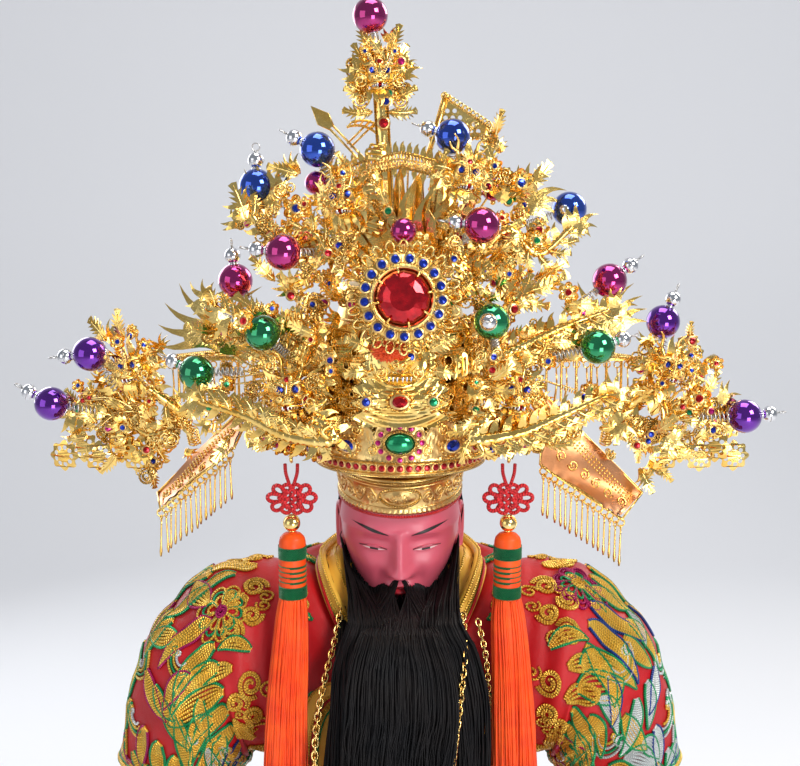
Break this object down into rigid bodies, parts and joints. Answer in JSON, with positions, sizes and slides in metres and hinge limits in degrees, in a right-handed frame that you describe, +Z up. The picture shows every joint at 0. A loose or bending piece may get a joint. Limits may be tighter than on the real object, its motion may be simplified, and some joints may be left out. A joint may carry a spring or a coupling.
{
  "type": "rod puppet",
  "caption": "Dressed rod puppet: carved head on a turning rod, jointed arms with control rods, stiff red robe, and a lift-off gilt crown with sprung ornaments and tassels.",
  "frame": {"origin": "centre of the central rod's lower end", "axes": "+Z up along the rod, the figure faces -Y, +X to the viewer's right when facing the figure"},
  "size_m": [0.2431, 0.1329, 0.5386],
  "materials": {
    "rod_wood": "turned and oiled",
    "torso_wood": "plain carved",
    "skin_lacquer": "satin lacquer on wood",
    "steel": "plain wire and pins",
    "hair": "long black hair",
    "red_cloth": "red satin with couched gold",
    "yellow_cloth": "folded yellow cloth",
    "gilt": "gilt stamped sheet and wire",
    "red_stone": "faceted red glass",
    "blue_stone": "faceted blue glass",
    "green_stone": "green glass",
    "blue_ball": "mirrored glass",
    "green_ball": "mirrored glass",
    "violet_ball": "mirrored glass",
    "magenta_ball": "mirrored glass",
    "red_cord": "knotted silk cord",
    "orange_silk": "loose silk threads"
  },
  "bodies": {
    "rod_and_head": {"central_rod": "rod_wood", "stop_collar": "rod_wood", "stop_pin": "steel", "head": "skin_lacquer", "forehead_band": "gilt", "beard": "hair", "moustache": "hair"},
    "trunk": {"torso": "torso_wood", "shoulder_pins": "steel", "robe": "red_cloth", "collar": "yellow_cloth", "belt": "gilt"},
    "crown": {"crown_cap": "gilt", "rim_band": "gilt", "rim_stones": "red_stone", "front_diadem": "gilt", "diadem_gems": "green_stone", "guardian_mask": "gilt", "medallion_plate": "gilt", "medallion_gem": "red_stone", "medallion_stones": "blue_stone", "flame_screen": "gilt", "halberd": "gilt", "pennant": "gilt", "rear_canopy": "gilt", "wing_plate_left": "gilt", "wing_plate_right": "gilt", "side_blossoms": "gilt"},
    "finial": {"finial_mast": "gilt", "finial_ball": "magenta_ball"},
    "arm_left": {"upper_arm_left": "torso_wood", "elbow_pin_left": "steel", "sleeve_upper_left": "red_cloth"},
    "lower_arm_left": {"forearm_left": "skin_lacquer", "sleeve_lower_left": "red_cloth"},
    "control_left": {"hand_rod_left": "rod_wood"},
    "upper_cluster_left": {"upper_dragon_left": "gilt", "upper_balls_left": "blue_ball"},
    "lower_cluster_left": {"lower_dragon_left": "gilt", "lower_balls_left": "green_ball"},
    "wing_cluster_left": {"wing_dragon_left": "gilt", "wing_balls_left": "violet_ball"},
    "side_fringe_left": {"fringe_left": "gilt"},
    "tassel_left": {"tassel_cord_left": "red_cord", "tassel_skirt_left": "orange_silk"},
    "arm_right": {"upper_arm_right": "torso_wood", "elbow_pin_right": "steel", "sleeve_upper_right": "red_cloth"},
    "lower_arm_right": {"forearm_right": "skin_lacquer", "sleeve_lower_right": "red_cloth"},
    "control_right": {"hand_rod_right": "rod_wood"},
    "upper_cluster_right": {"upper_dragon_right": "gilt", "upper_balls_right": "blue_ball"},
    "lower_cluster_right": {"lower_dragon_right": "gilt", "lower_balls_right": "green_ball"},
    "wing_cluster_right": {"wing_dragon_right": "gilt", "wing_balls_right": "violet_ball"},
    "side_fringe_right": {"fringe_right": "gilt"},
    "tassel_right": {"tassel_cord_right": "red_cord", "tassel_skirt_right": "orange_silk"}
  },
  "joints": [
    {"name": "body_turn", "type": "hinge", "parent": "rod_and_head", "child": "trunk", "pos_m": [0, 0, 0.1743], "axis": [0, 0, 1], "range_deg": [-6.5, 6.5]},
    {"name": "crown_lift", "type": "slide", "parent": "rod_and_head", "child": "crown", "axis": [0, 0, 1], "range_m": [0, 0.07]},
    {"name": "finial_sway", "type": "hinge", "parent": "crown", "child": "finial", "pos_m": [-0.003, -0.004, 0.45], "axis": [0, 1, 0], "range_deg": [-1.5, 3], "stiffness_Nm_per_rad": 0.03},
    {"name": "shoulder_left", "type": "hinge", "parent": "trunk", "child": "arm_left", "pos_m": [-0.04, 0, 0.322], "axis": [-1, 0, 0], "range_deg": [0, 35]},
    {"name": "elbow_left", "type": "hinge", "parent": "arm_left", "child": "lower_arm_left", "pos_m": [-0.072, -0.008, 0.272], "axis": [-0.677, -0.5237, 0.5171], "range_deg": [-25, 8]},
    {"name": "rod_swing_left", "type": "hinge", "parent": "lower_arm_left", "child": "control_left", "pos_m": [-0.03814, -0.07085, 0.24418], "axis": [-1, 0, 0], "range_deg": [-8, 35]},
    {"name": "upper_sway_left", "type": "hinge", "parent": "crown", "child": "upper_cluster_left", "pos_m": [-0.012, -0.011, 0.4464], "axis": [0, 1, 0], "range_deg": [-3, 3], "stiffness_Nm_per_rad": 0.02},
    {"name": "lower_sway_left", "type": "hinge", "parent": "crown", "child": "lower_cluster_left", "pos_m": [-0.023, -0.016, 0.42], "axis": [0, 1, 0], "range_deg": [-3, 3], "stiffness_Nm_per_rad": 0.03},
    {"name": "wing_sway_left", "type": "hinge", "parent": "crown", "child": "wing_cluster_left", "pos_m": [-0.066, 0.0024, 0.3916], "axis": [0, 1, 0], "range_deg": [-3, 3], "stiffness_Nm_per_rad": 0.03},
    {"name": "fringe_swing_left", "type": "hinge", "parent": "crown", "child": "side_fringe_left", "pos_m": [-0.05232, -0.01407, 0.39437], "axis": [-0.7371, 0.1973, -0.6464], "range_deg": [-8, 8]},
    {"name": "tassel_swing_left", "type": "hinge", "parent": "crown", "child": "tassel_left", "pos_m": [-0.033, -0.026, 0.3923], "axis": [-1, 0, 0], "range_deg": [0, 25]},
    {"name": "shoulder_right", "type": "hinge", "parent": "trunk", "child": "arm_right", "pos_m": [0.04, 0, 0.322], "axis": [-1, 0, 0], "range_deg": [0, 35]},
    {"name": "elbow_right", "type": "hinge", "parent": "arm_right", "child": "lower_arm_right", "pos_m": [0.072, -0.008, 0.272], "axis": [-0.677, 0.5237, -0.5171], "range_deg": [-25, 8]},
    {"name": "rod_swing_right", "type": "hinge", "parent": "lower_arm_right", "child": "control_right", "pos_m": [0.03814, -0.07085, 0.24418], "axis": [-1, 0, 0], "range_deg": [-8, 35]},
    {"name": "upper_sway_right", "type": "hinge", "parent": "crown", "child": "upper_cluster_right", "pos_m": [0.012, -0.011, 0.4464], "axis": [0, 1, 0], "range_deg": [-3, 3], "stiffness_Nm_per_rad": 0.02},
    {"name": "lower_sway_right", "type": "hinge", "parent": "crown", "child": "lower_cluster_right", "pos_m": [0.023, -0.016, 0.42], "axis": [0, 1, 0], "range_deg": [-3, 3], "stiffness_Nm_per_rad": 0.03},
    {"name": "wing_sway_right", "type": "hinge", "parent": "crown", "child": "wing_cluster_right", "pos_m": [0.066, 0.0024, 0.3916], "axis": [0, 1, 0], "range_deg": [-3, 3], "stiffness_Nm_per_rad": 0.03},
    {"name": "fringe_swing_right", "type": "hinge", "parent": "crown", "child": "side_fringe_right", "pos_m": [0.04496, -0.00579, 0.38701], "axis": [0.8175, 0.1069, -0.5659], "range_deg": [-8, 8]},
    {"name": "tassel_swing_right", "type": "hinge", "parent": "crown", "child": "tassel_right", "pos_m": [0.033, -0.026, 0.3923], "axis": [-1, 0, 0], "range_deg": [0, 25]}
  ]
}
